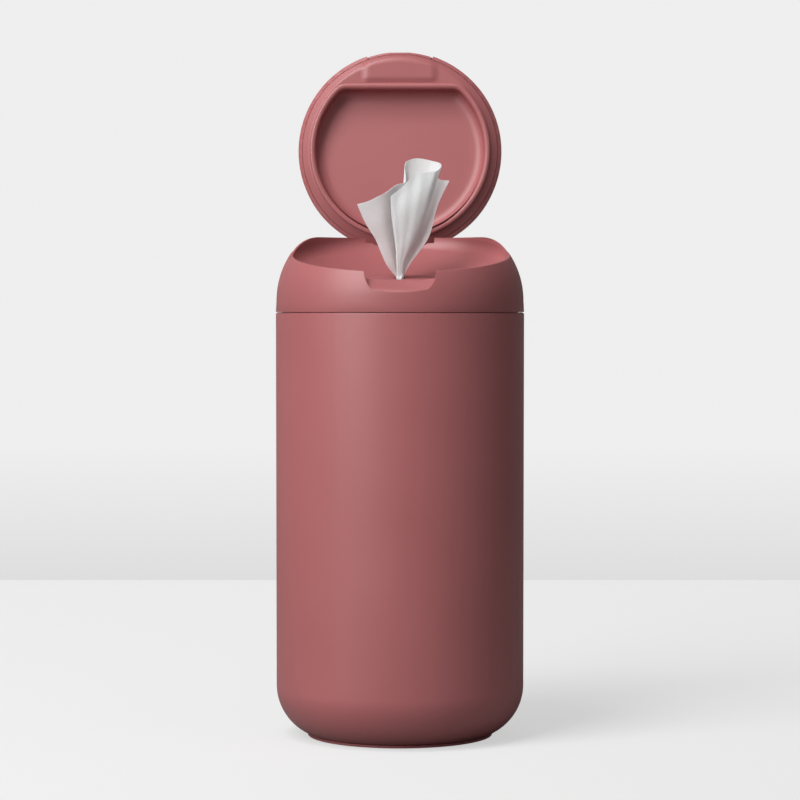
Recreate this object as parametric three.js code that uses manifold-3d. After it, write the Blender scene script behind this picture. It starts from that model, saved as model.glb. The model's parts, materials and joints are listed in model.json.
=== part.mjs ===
// Wipes dispenser: a round canister with a domed push-fit collar, a hinged lid shown open, a roll of
// wipes inside and the leading wipe drawn up through the nozzle.
// Millimetres, +Z up. The origin is on the axis, at the underside of the base pad. The front is -Y.
import * as THREE from 'three';
import { mergeVertices } from 'three/addons/utils/BufferGeometryUtils.js';
import Module from 'manifold-3d';

const wasm = await Module();
wasm.setup();

// Fit of one piece to the next
const fitGap = 0.3;
const overcut = 20;

// Facets round a full turn
const outerFacets = 54;
const innerFacets = 36;
const smallFacets = 24;

// Canister
const bodyRadius = 52.45;
const bodyDraft = 0.1;
const bodyWall = 1.8;
const floorWall = 2;
const baseCornerRadius = 22;
const footLip = 0.05;
const seamHeight = 179;
const seamGap = 0.45;
const seamLedgeInset = 0.6;
const seamLedgeHeight = 0.15;
const neckHeight = 8;
const neckWall = 1.8;
const neckInset = 2.6;
const neckTaper = 4;

// Base pad
const padInset = 13.15;
const padThickness = 1.15;
const padEdgeRound = 0.4;
const padBossRadius = 30;
const padBossHeight = 1.2;

// Seal ring between the neck and the collar
const sealThickness = 1.2;
const sealWidth = 1.8;

// Collar: a skirt with a little draft, then a round dome
const domeStart = 5;
const domeRadius = 36;
const domeDraft = 0.25;
const collarWall = 2;
const rimThickness = 0.75;
const lipRoot = 5;
const skirtWall = 2;
const hollowStart = 1;

// Plane of the lid's edge, through lidCentre and rising to the rear
const lidTilt = THREE.MathUtils.degToRad(9.8);
const lidCentreY = -5;
const lidCentreHeight = 24.3;
const lidInset = 7.6;
const lidLift = 0.2;
const lidEdgeRise = 1.3;
const lidEdgePitch = 0.7;

// The lip round the closed lid, which rises to a level rear rim between these two places
const rearRimHeight = 32.5;
const rearRiseStart = -3;
const rearRiseEnd = 24;

// Bowl scooped into the collar: a shallow middle with a rounded edge
const bowlDepth = 12.3;
const bowlEdgeRound = 6;
const bowlEdgeLift = 1.2;
const bowlWall = 2;

// Nozzle in the middle of the bowl
const nozzleRadius = 17;
const nozzleThickness = 1.2;
const nozzleCrown = 0.9;
const nozzleSeatWidth = 2.5;
const nozzleBossTop = 6;
const nozzleHoleRadius = 2.3;
const nozzleSlits = 6;
const nozzleSlitLength = 7;
const nozzleSlitWidth = 0.4;

// Thumb pocket in the front of the collar
const pocketWidth = 29.2;
const pocketBottomHeight = 8.3;
const pocketTopHeight = 14;
const pocketBottomInset = 0.15;
const pocketTopInset = 8.05;
const pocketCornerWidth = 6.5;
const pocketCornerHeight = 9;
const pocketBackInset = 1;

// Hinge
const hingeInset = 11.15;
const hingeHeight = 26.2;
const pinRadius = 1.25;
const pinEnd = 2.4;
const knuckleRadius = 3;
const hingeSlotWidth = 29.9;
const hingeSlotDepth = 2.3;
const hingePocketDepth = 5;
const hingePocketFront = 3.8;
const hingeSlotFront = 12;
const hingeCheek = 3.2;
const lidOpenAngle = THREE.MathUtils.degToRad(105.6);

// Lid shell
const lidWall = 1.6;
const shoulderStart = THREE.MathUtils.degToRad(48);
const shoulderRadius = 9;
const lidTopHeight = 38;
const tabWidth = 29.2;
const tabSetBack = 0.8;
const tabHeight = 2;
const armFront = 2.9;
const armLipFront = 3.9;

// Lid liner with its D-shaped bead and recess
const linerThickness = 1.2;
const linerDrop = 1.8;
const beadInset = 6.25;
const beadFlatInset = 16.45;
const beadCorner = 6.5;
const beadWidth = 3;
const beadHeight = 3.6;
const beadCrestHalf = 0.1;
const recessTilt = THREE.MathUtils.degToRad(5);
const recessDepth = 2.2;
const recessRound = 3;
const recessRoundWidth = 4.5;
const latchPadWidth = 31;
const latchPadHeight = 0.8;
const latchPadInset = 2.65;

// Roll of wipes
const rollClearance = 4.05;
const rollTopDrop = 3.05;
const coreRadius = 10;
const rollEdgeRound = 2;
const rollFootRound = 8;

// Leading wipe
const wipeThickness = 0.9;
const wipeHeight = 49.8;
const strandRadius = 1.7;
const strandGather = 0.8;
const strandTop = 3;
const strandStraight = 4;
const strandDepth = 36;
const strandDrift = 6;
const strandSag = 2;

// Heights and radii that follow from the sizes above
const bodyFootRadius = bodyRadius - bodyDraft;
const padRadius = bodyFootRadius - padInset;
const bodyBottom = padThickness + fitGap;
const bodyTop = seamHeight - seamGap / 2;
const skirtBottom = seamHeight + seamGap / 2;
const neckRadius = bodyRadius - neckInset;
const neckTop = seamHeight + neckHeight;
const neckInnerRadius = neckRadius - neckWall;
const skirtInnerRadius = neckRadius + fitGap;
const lidRadius = bodyRadius - lidInset;
const bowlRimRadius = lidRadius + fitGap;
const rimRadius = bowlRimRadius + rimThickness;
const rearRimZ = seamHeight + rearRimHeight;
const skirtLedge = neckTop + fitGap + sealThickness + fitGap;
const domeBase = seamHeight + domeStart;
const domeBaseRadius = bodyRadius - domeDraft;
const domeCentreRadius = domeBaseRadius - domeRadius;
const lidCentreZ = seamHeight + lidCentreHeight;
const hingeY = bodyRadius - hingeInset;
const hingeZ = seamHeight + hingeHeight;
const pocketBottomY = pocketBottomInset - bodyRadius;
const pocketTopY = pocketTopInset - bodyRadius;
const beadRadius = lidRadius - beadInset;
const beadFlat = lidRadius - beadFlatInset;
const knuckleLength = hingeSlotWidth - 2 * fitGap;
const bowlRoundR = bowlRimRadius - bowlEdgeRound;
const bowlRadius = (bowlRoundR ** 2 + (bowlDepth + bowlEdgeLift) ** 2 - bowlEdgeRound ** 2)
  / (2 * (bowlDepth + bowlEdgeLift - bowlEdgeRound));
const bowlCentreHeight = bowlRadius - bowlDepth;
const nozzleSeatRadius = nozzleRadius - nozzleSeatWidth;
const nozzleEdgeDepth = Math.sqrt(bowlRadius ** 2 - nozzleRadius ** 2) - bowlCentreHeight;

function lathe(points, segments) {
  const geometry = new THREE.LatheGeometry(points.map(([r, z]) => new THREE.Vector2(r, z)), segments);
  geometry.rotateX(Math.PI / 2);
  return geometry;
}

function arc(centreR, centreZ, radius, from, to, steps) {
  const points = [];
  for (let i = 0; i <= steps; i += 1) {
    const angle = from + ((to - from) * i) / steps;
    points.push([centreR + radius * Math.cos(angle), centreZ + radius * Math.sin(angle)]);
  }
  return points;
}

function solid(geometry) {
  const bare = geometry.clone();
  bare.deleteAttribute('normal');
  bare.deleteAttribute('uv');
  const merged = mergeVertices(bare, 1e-4);
  return new wasm.Manifold(new wasm.Mesh({
    numProp: 3,
    vertProperties: new Float32Array(merged.attributes.position.array),
    triVerts: new Uint32Array(merged.index.array),
  }));
}

function geometryOf(manifold) {
  const mesh = manifold.getMesh();
  const geometry = new THREE.BufferGeometry();
  geometry.setAttribute('position', new THREE.BufferAttribute(mesh.vertProperties, 3));
  geometry.setIndex(new THREE.BufferAttribute(mesh.triVerts, 1));
  return geometry;
}

function box(x0, x1, y0, y1, z0, z1) {
  const geometry = new THREE.BoxGeometry(x1 - x0, y1 - y0, z1 - z0);
  geometry.translate((x0 + x1) / 2, (y0 + y1) / 2, (z0 + z1) / 2);
  return geometry;
}

// A prism along X whose section is drawn in Y and Z
function prismAlongX(shape, x0, x1) {
  const geometry = new THREE.ExtrudeGeometry(shape, { depth: x1 - x0, bevelEnabled: false });
  geometry.applyMatrix4(new THREE.Matrix4().makeBasis(
    new THREE.Vector3(0, 1, 0),
    new THREE.Vector3(0, 0, 1),
    new THREE.Vector3(1, 0, 0),
  ));
  geometry.translate(x0, 0, 0);
  return geometry;
}

function outline(points) {
  return new THREE.Shape(points.map(([x, y]) => new THREE.Vector2(x, y)));
}

// From the lid's own frame (origin in the middle of its edge, Z square to the edge's plane)
function fromLidFrame(geometry, tilt = lidTilt) {
  geometry.rotateX(tilt);
  geometry.translate(0, lidCentreY, lidCentreZ);
  return geometry;
}

function canisterGeometry() {
  const cornerR = bodyFootRadius - baseCornerRadius;
  const cornerZ = bodyBottom - footLip + Math.sqrt(baseCornerRadius ** 2 - (padRadius + fitGap - cornerR) ** 2);
  const footAngle = Math.asin((bodyBottom - cornerZ) / baseCornerRadius);
  const innerRound = baseCornerRadius - bodyWall;
  const recessTop = bodyBottom + padBossHeight;
  const floorTop = recessTop + floorWall;
  const innerFootAngle = Math.asin((floorTop - cornerZ) / innerRound);
  return lathe([
    [0, recessTop],
    [padBossRadius + fitGap, recessTop],
    [padBossRadius + fitGap, bodyBottom],
    ...arc(cornerR, cornerZ, baseCornerRadius, footAngle, 0, 8),
    [bodyRadius, bodyTop],
    [bodyRadius - seamLedgeInset, bodyTop],
    [bodyRadius - seamLedgeInset, bodyTop + seamLedgeHeight],
    [neckRadius, bodyTop + seamLedgeHeight],
    [neckRadius, neckTop],
    [neckInnerRadius, neckTop],
    [neckInnerRadius, bodyTop - neckTaper],
    [bodyRadius - bodyWall, bodyTop - 2 * neckTaper],
    ...arc(cornerR, cornerZ, innerRound, 0, innerFootAngle, 4),
    [0, floorTop],
  ], outerFacets);
}

function basePadGeometry() {
  return lathe([
    [0, 0],
    [padRadius - padEdgeRound, 0],
    [padRadius, padEdgeRound],
    [padRadius, padThickness],
    [padBossRadius, padThickness],
    [padBossRadius, padThickness + padBossHeight],
    [0, padThickness + padBossHeight],
  ], outerFacets);
}

function neckSealGeometry() {
  const bottom = neckTop + fitGap;
  const inner = neckRadius - sealWidth;
  return lathe([
    [inner, bottom],
    [neckRadius, bottom],
    [neckRadius, bottom + sealThickness],
    [inner, bottom + sealThickness],
    [inner, bottom],
  ], outerFacets);
}

// Half outline of the dome that the collar and the closed lid share, moved inward by inset
function domeOutline(inset) {
  const shoulderR = domeCentreRadius + (domeRadius - shoulderRadius) * Math.cos(shoulderStart);
  const shoulderZ = domeBase + (domeRadius - shoulderRadius) * Math.sin(shoulderStart);
  const drop = seamHeight + lidTopHeight - shoulderZ;
  const crownRadius = (shoulderR ** 2 + drop ** 2 - shoulderRadius ** 2) / (2 * (drop - shoulderRadius));
  const crownZ = seamHeight + lidTopHeight - crownRadius;
  const shoulderEnd = Math.atan2(shoulderZ - crownZ, shoulderR);
  return [
    ...arc(domeCentreRadius, domeBase, domeRadius - inset, 0, shoulderStart, 7),
    ...arc(shoulderR, shoulderZ, shoulderRadius - inset, shoulderStart, shoulderEnd, 4).slice(1),
    ...arc(0, crownZ, crownRadius - inset, shoulderEnd, Math.PI / 2, 4).slice(1, -1),
    [0, crownZ + crownRadius - inset],
  ];
}

function domeSolid(inset, bottom) {
  const points = [[0, bottom], [bodyRadius - inset, bottom], ...domeOutline(inset)];
  return solid(lathe(points, outerFacets));
}

// Height of the lip: it follows the lid's edge in front and eases up to the level rear rim
function lipHeight(y) {
  const slope = Math.tan(lidTilt);
  const run = rearRiseEnd - rearRiseStart;
  const start = lidCentreZ + (rearRiseStart - lidCentreY) * slope;
  const t = (y - rearRiseStart) / run;
  if (t <= 0) {
    return lidCentreZ + (y - lidCentreY) * slope;
  }
  if (t >= 1) {
    return rearRimZ;
  }
  const ease = t * t * (3 - 2 * t);
  return start * (1 - ease) + rearRimZ * ease + run * slope * t * (1 - t) ** 2;
}

function belowLipSolid() {
  const reach = bodyRadius + overcut;
  const points = [[-reach, seamHeight - overcut], [-reach, lipHeight(-reach)]];
  for (let i = 0; i <= 9; i += 1) {
    const y = rearRiseStart + ((rearRiseEnd - rearRiseStart) * i) / 9;
    points.push([y, lipHeight(y)]);
  }
  points.push([reach, rearRimZ], [reach, seamHeight - overcut]);
  return solid(prismAlongX(outline(points.reverse()), -reach, reach));
}

// A round plug in the lid's frame, between two heights
function lidPlug(radius, from, to) {
  return solid(fromLidFrame(lathe([[0, from], [radius, from], [radius, to], [0, to]], outerFacets)));
}

// The scoop of the bowl, moved outward by grow, open upward
function scoopSolid(grow) {
  const radius = bowlRadius + grow;
  const roundStart = Math.atan2(bowlEdgeLift - bowlCentreHeight, bowlRoundR);
  return solid(fromLidFrame(lathe([
    [0, bowlCentreHeight - radius],
    ...arc(0, bowlCentreHeight, radius, -Math.PI / 2, roundStart, 6).slice(1),
    ...arc(bowlRoundR, bowlEdgeLift, bowlEdgeRound + grow, roundStart, 0, 4).slice(1),
    [bowlRimRadius + grow, overcut],
    [0, overcut],
  ], outerFacets)));
}

function pocketSolid() {
  const top = rearRimZ;
  const front = -bodyRadius - overcut;
  const half = pocketWidth / 2;
  const bottom = seamHeight + pocketBottomHeight;
  const side = prismAlongX(outline([
    [front, bottom],
    [pocketBottomY, bottom],
    [pocketTopY, seamHeight + pocketTopHeight],
    [pocketTopY, top],
    [front, top],
  ]), -half, half);
  const face = new THREE.Shape();
  const cornerX = half - pocketCornerWidth;
  const cornerZ = bottom + pocketCornerHeight;
  face.moveTo(-half, top);
  face.lineTo(-half, cornerZ);
  face.absellipse(-cornerX, cornerZ, pocketCornerWidth, pocketCornerHeight, Math.PI, 1.5 * Math.PI);
  face.absellipse(cornerX, cornerZ, pocketCornerWidth, pocketCornerHeight, 1.5 * Math.PI, 0);
  face.lineTo(half, top);
  face.closePath();
  const facePrism = new THREE.ExtrudeGeometry(face, { depth: overcut * 2, bevelEnabled: false, curveSegments: 6 });
  facePrism.rotateX(Math.PI / 2);
  facePrism.translate(0, pocketTopY + pocketBackInset, 0);
  return solid(side).intersect(solid(facePrism));
}

// Space for the knuckle and the arm of the lid, grown by a wall where asked
function hingePocketSolid(grow) {
  const half = hingeSlotWidth / 2 + (grow > 0 ? hingeCheek : 0);
  return solid(box(
    -half, half,
    hingeY - hingePocketFront - grow, hingeY + overcut,
    hingeZ - hingePocketDepth - grow, rearRimZ + (grow > 0 ? 0 : overcut),
  ));
}

function hingeSlotSolid() {
  const half = hingeSlotWidth / 2;
  const bottom = rearRimZ - hingeSlotDepth;
  return solid(box(-half, half, hingeY - hingeSlotFront, hingeY + overcut, bottom, bottom + overcut));
}

function rodAlongX(radius, length) {
  const geometry = new THREE.CylinderGeometry(radius, radius, length, smallFacets);
  geometry.rotateZ(Math.PI / 2);
  geometry.translate(0, hingeY, hingeZ);
  return geometry;
}

function nozzleBoreSolid() {
  return solid(fromLidFrame(lathe([
    [0, -nozzleEdgeDepth - overcut],
    [nozzleSeatRadius, -nozzleEdgeDepth - overcut],
    [nozzleSeatRadius, -nozzleEdgeDepth - nozzleThickness - fitGap],
    [nozzleRadius + fitGap, -nozzleEdgeDepth - nozzleThickness - fitGap],
    [nozzleRadius + fitGap, 0],
    [0, 0],
  ], innerFacets)));
}

function nozzleBossSolid() {
  const depth = nozzleEdgeDepth + nozzleThickness + fitGap + collarWall;
  const radius = nozzleRadius + collarWall;
  return solid(fromLidFrame(lathe([[0, -depth], [radius, -depth], [radius, -nozzleBossTop], [0, -nozzleBossTop]], innerFacets)));
}

function collarGeometry() {
  const pinBore = solid(rodAlongX(pinRadius + fitGap, hingeSlotWidth + 2 * (pinEnd + fitGap)));
  const ledge = solid(lathe([
    [0, seamHeight - overcut],
    [skirtInnerRadius, seamHeight - overcut],
    [skirtInnerRadius, skirtLedge],
    [0, skirtLedge],
  ], outerFacets));
  const walls = scoopSolid(bowlWall)
    .add(hingePocketSolid(collarWall))
    .add(nozzleBossSolid())
    .add(pocketWallSolid());
  const hollow = domeSolid(skirtWall, seamHeight + hollowStart).subtract(walls).subtract(seatRingSolid());
  const outer = domeSolid(0, skirtBottom)
    .add(lidPlug(rimRadius, -lipRoot, overcut))
    .intersect(belowLipSolid());
  return geometryOf(outer
    .subtract(ledge)
    .subtract(hollow)
    .subtract(scoopSolid(0))
    .subtract(pocketSolid())
    .subtract(hingePocketSolid(0))
    .subtract(hingeSlotSolid())
    .subtract(nozzleBoreSolid())
    .subtract(pinBore));
}

// Land above the neck that the seal ring is squeezed against
function seatRingSolid() {
  const inner = neckRadius - sealWidth - collarWall;
  const outer = bodyRadius + overcut;
  return solid(lathe([
    [inner, skirtLedge],
    [outer, skirtLedge],
    [outer, skirtLedge + collarWall],
    [inner, skirtLedge + collarWall],
    [inner, skirtLedge],
  ], outerFacets));
}

// Material kept behind the face of the thumb pocket
function pocketWallSolid() {
  const half = pocketWidth / 2 + collarWall;
  const bottom = seamHeight + pocketBottomHeight - pocketBackInset;
  return solid(prismAlongX(outline([
    [-bodyRadius, bottom],
    [pocketBottomY + collarWall, bottom],
    [pocketTopY + collarWall, seamHeight + pocketTopHeight - pocketBackInset],
    [pocketTopY + collarWall, rearRimZ],
    [-bodyRadius, rearRimZ],
  ]), -half, half));
}

function nozzleGeometry() {
  const crownHeight = nozzleThickness + nozzleCrown;
  const crown = (nozzleRadius ** 2 + nozzleCrown ** 2) / (2 * nozzleCrown);
  const topZ = -nozzleEdgeDepth + nozzleCrown;
  const edgeAngle = Math.asin((crown - nozzleCrown) / crown);
  const holeAngle = Math.acos(nozzleHoleRadius / crown);
  const disc = solid(fromLidFrame(lathe([
    [nozzleHoleRadius, topZ - crownHeight],
    [nozzleRadius, topZ - crownHeight],
    ...arc(0, topZ - crown, crown, edgeAngle, holeAngle, 4),
    [nozzleHoleRadius, topZ - crownHeight],
  ], innerFacets)));
  let slits = null;
  for (let i = 0; i < nozzleSlits; i += 1) {
    const slit = box(
      0, nozzleHoleRadius + nozzleSlitLength,
      -nozzleSlitWidth / 2, nozzleSlitWidth / 2,
      topZ - overcut, topZ + overcut,
    );
    slit.rotateZ((i * 2 * Math.PI) / nozzleSlits);
    const cut = solid(fromLidFrame(slit));
    slits = slits ? slits.add(cut) : cut;
  }
  return geometryOf(disc.subtract(slits));
}

function hingePinGeometry() {
  return rodAlongX(pinRadius, hingeSlotWidth + 2 * pinEnd);
}

// Knuckle on the pin, and the arm that carries it, flush with the dome when the lid is closed
function hingeArmSolid() {
  const half = knuckleLength / 2;
  const rear = hingeY + knuckleRadius;
  const slotBottom = rearRimZ - hingeSlotDepth;
  const arm = box(-half, half, hingeY - armFront, rear, hingeZ, rearRimZ + lidWall);
  const overLip = box(-half, half, hingeY - armLipFront, rear, slotBottom + fitGap, rearRimZ + lidWall);
  return solid(arm).add(solid(overLip))
    .intersect(domeSolid(0, seamHeight))
    .add(solid(rodAlongX(knuckleRadius, knuckleLength)));
}

// The closed lid's outside moved inward: the dome, filled out level with the lip at the rear
function lidForm(inset, edge) {
  return domeSolid(inset, seamHeight)
    .add(belowLipSolid().translate([0, 0, -inset]))
    .intersect(lidPlug(lidRadius - inset, edge, overcut * 2));
}

// Radius in the lid's frame where its sloping edge meets the flat panel of the liner
const slopeStart = lidRadius - (lidLift + lidEdgeRise + linerDrop) / lidEdgePitch;

// Space below the panel and the sloping edge of the lid, moved down by a drop
function edgeSlopeSolid(drop) {
  const low = -linerDrop - drop;
  const high = lidLift + lidEdgeRise - drop;
  return solid(fromLidFrame(lathe([
    [0, -overcut],
    [lidRadius + overcut, -overcut],
    [lidRadius + overcut, high],
    [lidRadius, high],
    [slopeStart, low],
    [0, low],
  ], outerFacets)));
}

function lidShellGeometry() {
  const reach = lidRadius + overcut;
  const notch = solid(fromLidFrame(box(
    -tabWidth / 2, tabWidth / 2, -reach, -lidRadius + tabSetBack, -overcut, tabHeight,
  )));
  const pinBore = solid(rodAlongX(pinRadius + fitGap, hingeSlotWidth));
  return geometryOf(lidForm(0, lidLift)
    .subtract(lidForm(lidWall, lidLift - lidWall))
    .subtract(edgeSlopeSolid(0))
    .subtract(notch)
    .add(hingeArmSolid())
    .subtract(pinBore));
}

// D-shaped outline in the lid's frame: a round with its front cut straight and the corners rounded
function dShape(offset) {
  const radius = beadRadius + offset;
  const flat = beadFlat + offset;
  const corner = beadCorner + offset;
  const cornerY = -flat + corner;
  const cornerX = Math.sqrt((radius - corner) ** 2 - cornerY ** 2);
  const joinAngle = Math.atan2(cornerY, cornerX);
  const points = [
    ...arc(0, 0, radius, joinAngle, Math.PI - joinAngle, 26),
    ...arc(-cornerX, cornerY, corner, Math.PI - joinAngle, 1.5 * Math.PI, 5).slice(1),
    ...arc(cornerX, cornerY, corner, 1.5 * Math.PI, 2 * Math.PI + joinAngle, 5).slice(0, -1),
  ];
  return points.map(([x, y]) => new THREE.Vector2(x, y));
}

// Round-edged D-shaped plug that forms the recess, grown by a wall where asked
function recessSolid(grow) {
  const shape = new THREE.Shape(dShape(-beadWidth / 2 - recessRoundWidth + grow));
  const depth = recessDepth + grow + overcut - recessRound;
  const plug = new THREE.ExtrudeGeometry(shape, {
    depth,
    bevelThickness: recessRound,
    bevelSize: recessRoundWidth,
    bevelSegments: 3,
  });
  plug.translate(0, 0, recessDepth + grow - recessRound - depth);
  return solid(fromLidFrame(plug, recessTilt));
}

function beadSolid() {
  const round = beadWidth / 2 - beadCrestHalf;
  const shape = new THREE.Shape(dShape(beadWidth / 2 - round));
  shape.holes.push(new THREE.Path(dShape(-beadWidth / 2 + round).reverse()));
  const ring = new THREE.ExtrudeGeometry(shape, {
    depth: beadHeight + linerThickness,
    bevelThickness: round,
    bevelSize: round,
    bevelSegments: 2,
  });
  ring.translate(0, 0, -beadHeight + round);
  return solid(fromLidFrame(ring));
}

// The liner fills the shell from wall to wall: flange, tub of the recess, bead and latch pad
function lidLinerGeometry() {
  const linerRadius = lidRadius - lidWall - fitGap;
  const half = latchPadWidth / 2;
  const panelBack = linerThickness - linerDrop;
  const slopeEnd = lidEdgePitch * (linerRadius - slopeStart);
  const flange = lidPlug(linerRadius, -linerDrop, panelBack).subtract(edgeSlopeSolid(0));
  const slopeRing = solid(fromLidFrame(lathe([
    [slopeStart, panelBack],
    [slopeStart, -linerDrop],
    [linerRadius, slopeEnd - linerDrop],
    [linerRadius, slopeEnd + panelBack],
    [slopeStart, panelBack],
  ], outerFacets)));
  const latchPad = solid(fromLidFrame(box(
    -half, half, latchPadInset - lidRadius, -beadFlat, -overcut, panelBack,
  ))).subtract(edgeSlopeSolid(latchPadHeight));
  const room = lidPlug(linerRadius, -overcut, overcut * 2).intersect(domeSolid(lidWall + fitGap, seamHeight));
  const armSpace = solid(box(
    -hingeSlotWidth / 2, hingeSlotWidth / 2,
    hingeY - armLipFront - fitGap, hingeY + overcut,
    hingeZ, rearRimZ + overcut,
  ));
  return geometryOf(flange
    .add(recessSolid(linerThickness).intersect(lidPlug(linerRadius, -linerDrop, overcut * 2)))
    .add(slopeRing)
    .add(latchPad)
    .add(beadSolid())
    .intersect(room)
    .intersect(scoopSolid(-fitGap))
    .subtract(recessSolid(0))
    .subtract(armSpace));
}

function wipeRollGeometry() {
  const rollRadius = bodyFootRadius - bodyWall - rollClearance;
  const bottom = bodyBottom + padBossHeight + floorWall + fitGap;
  const top = seamHeight - rollTopDrop;
  return lathe([
    [coreRadius, bottom],
    [rollRadius - rollFootRound, bottom],
    [rollRadius, bottom + rollFootRound],
    [rollRadius, top - rollEdgeRound],
    [rollRadius - rollEdgeRound, top],
    [coreRadius, top],
    [coreRadius, bottom],
  ], innerFacets);
}

// Lines of the wipe from the nozzle to its upper edge, left to right: where each lies at three
// heights above the nozzle, then at the edge. Each point is x, y, z from the middle of the nozzle.
// The lines are scaled so that the highest reaches wipeHeight.
const wipeLines = [
  [[-5.9, -0.4, 6.2], [-10.2, -1.6, 16.1], [-14.6, -3.0, 23.4], [-17.9, -4.0, 31.1]],
  [[-4.6, -1.2, 7.0], [-8.4, -3.4, 17.0], [-11.6, -5.6, 26.0], [-13.8, -6.8, 32.2]],
  [[-3.4, -1.2, 7.0], [-5.9, -3.2, 17.5], [-7.4, -5.4, 27.0], [-8.2, -6.4, 34.9]],
  [[-1.5, 0.4, 7.0], [-2.5, 1.4, 18.0], [-3.5, 0.6, 30.0], [-1.2, -0.8, 39.6]],
  [[-0.9, -0.9, 7.0], [-0.2, -1.4, 18.0], [0.6, -2.6, 30.0], [2.5, -2.8, 47.4]],
  [[0.5, -1.0, 7.0], [3.0, -3.2, 18.0], [5.0, -4.6, 31.0], [7.6, -4.4, 49.8]],
  [[1.7, -0.6, 7.0], [5.1, -2.6, 18.0], [8.8, -4.0, 31.0], [12.7, -4.0, 49.0]],
  [[2.6, 0.4, 7.0], [6.9, 0.2, 18.0], [11.3, -0.6, 31.0], [16.4, -1.4, 46.8]],
  [[3.4, 1.2, 7.0], [8.6, 3.2, 18.0], [13.2, 4.0, 30.5], [17.4, 3.4, 42.2]],
  [[4.6, 0.6, 6.6], [12.1, 1.0, 17.4], [16.0, 1.6, 31.0], [21.0, 0.6, 41.0]],
];

function nozzleCentre() {
  const drop = nozzleEdgeDepth - nozzleCrown;
  return new THREE.Vector3(0, lidCentreY + drop * Math.sin(lidTilt), lidCentreZ - drop * Math.cos(lidTilt));
}

function wipePoint(across, up) {
  const centre = nozzleCentre();
  const neckSpread = (2 * across - 1) * strandRadius * strandGather;
  const scale = wipeHeight / Math.max(...wipeLines.flat().map((point) => point[2]));
  const columns = wipeLines.map((line) => {
    const points = line.map(([x, y, z]) => new THREE.Vector3(x, y, z).multiplyScalar(scale));
    const root = new THREE.Vector3(neckSpread, 0, fitGap);
    return new THREE.CatmullRomCurve3([root, ...points], false, 'centripetal').getPoint(up);
  });
  return new THREE.CatmullRomCurve3(columns, false, 'centripetal').getPoint(across).add(centre);
}

// The fan of the wipe as one closed sheet, its front and its back a thickness apart
function wipeFanGeometry() {
  const acrossSteps = 28;
  const upSteps = 12;
  const row = acrossSteps + 1;
  const sheet = row * (upSteps + 1);
  const positions = [];
  const index = [];
  for (const side of [-1, 1]) {
    for (let j = 0; j <= upSteps; j += 1) {
      for (let i = 0; i <= acrossSteps; i += 1) {
        const p = wipePoint(i / acrossSteps, j / upSteps);
        positions.push(p.x, p.y + (side * wipeThickness) / 2, p.z);
      }
    }
  }
  function quad(a, b, c, d) {
    index.push(a, b, c, a, c, d);
  }
  for (let j = 0; j < upSteps; j += 1) {
    for (let i = 0; i < acrossSteps; i += 1) {
      const a = j * row + i;
      quad(a, a + 1, a + row + 1, a + row);
      quad(sheet + a + 1, sheet + a, sheet + a + row, sheet + a + row + 1);
    }
  }
  for (let j = 0; j < upSteps; j += 1) {
    const a = j * row;
    const b = a + acrossSteps;
    quad(a, a + row, sheet + a + row, sheet + a);
    quad(b + row, b, sheet + b, sheet + b + row);
  }
  for (let i = 0; i < acrossSteps; i += 1) {
    const top = upSteps * row + i;
    quad(i + 1, i, sheet + i, sheet + i + 1);
    quad(top, top + 1, sheet + top + 1, sheet + top);
  }
  const geometry = new THREE.BufferGeometry();
  geometry.setAttribute('position', new THREE.Float32BufferAttribute(positions, 3));
  geometry.setIndex(index);
  return geometry;
}

// The gathered strand from the fan down into the middle of the roll
function strandGeometry() {
  const centre = nozzleCentre();
  const route = new THREE.CatmullRomCurve3([
    centre.clone().add(new THREE.Vector3(0, 0, strandTop)),
    centre.clone().add(new THREE.Vector3(0, 0, -strandStraight)),
    centre.clone().add(new THREE.Vector3(strandDrift / 6, strandSag * 0.75, -strandDepth / 2)),
    centre.clone().add(new THREE.Vector3(strandDrift, strandSag, -strandDepth)),
  ]);
  const section = new THREE.Shape();
  section.absarc(0, 0, strandRadius, 0, 2 * Math.PI);
  return new THREE.ExtrudeGeometry(section, {
    steps: 14, curveSegments: 5, bevelEnabled: false, extrudePath: route,
  });
}

function leadingWipeGeometry() {
  return geometryOf(solid(wipeFanGeometry()).add(solid(strandGeometry())));
}

function piece(name, geometry, colour, roughness, metalness = 0) {
  const material = new THREE.MeshStandardMaterial({ color: colour, roughness, metalness });
  const mesh = new THREE.Mesh(geometry, material);
  mesh.name = name;
  return mesh;
}

const rose = 0xa85c60;
const roseSoft = 0x9e5559;
const clothWhite = 0xe9e9e9;
const steel = 0xb8babc;

const dispenser = new THREE.Group();
dispenser.add(piece('base_pad', basePadGeometry(), roseSoft, 0.7));
dispenser.add(piece('canister', canisterGeometry(), rose, 0.5));
dispenser.add(piece('wipe_roll', wipeRollGeometry(), clothWhite, 0.95));
dispenser.add(piece('neck_seal', neckSealGeometry(), clothWhite, 0.7));
dispenser.add(piece('collar', collarGeometry(), rose, 0.5));
dispenser.add(piece('nozzle', nozzleGeometry(), roseSoft, 0.65));
dispenser.add(piece('hinge_pin', hingePinGeometry(), steel, 0.3, 1));
dispenser.add(piece('leading_wipe', leadingWipeGeometry(), clothWhite, 0.95));

// The lid is shaped closed, then swung open about the hinge pin
const lidAtHinge = new THREE.Group();
lidAtHinge.position.set(0, hingeY, hingeZ);
lidAtHinge.rotation.x = -lidOpenAngle;
const closedLid = new THREE.Group();
closedLid.position.set(0, -hingeY, -hingeZ);
closedLid.add(piece('lid_shell', lidShellGeometry(), rose, 0.5));
closedLid.add(piece('lid_liner', lidLinerGeometry(), rose, 0.5));
lidAtHinge.add(closedLid);
dispenser.add(lidAtHinge);

export default dispenser;
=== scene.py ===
"""Wipes dispenser: a round canister, a domed collar with a bowl and nozzle, and a hinged lid standing open.

Everything is in metres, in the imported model's frame: +Z up, the front at -Y, the base pad standing on z = 0.
"""

import json
import math

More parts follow.
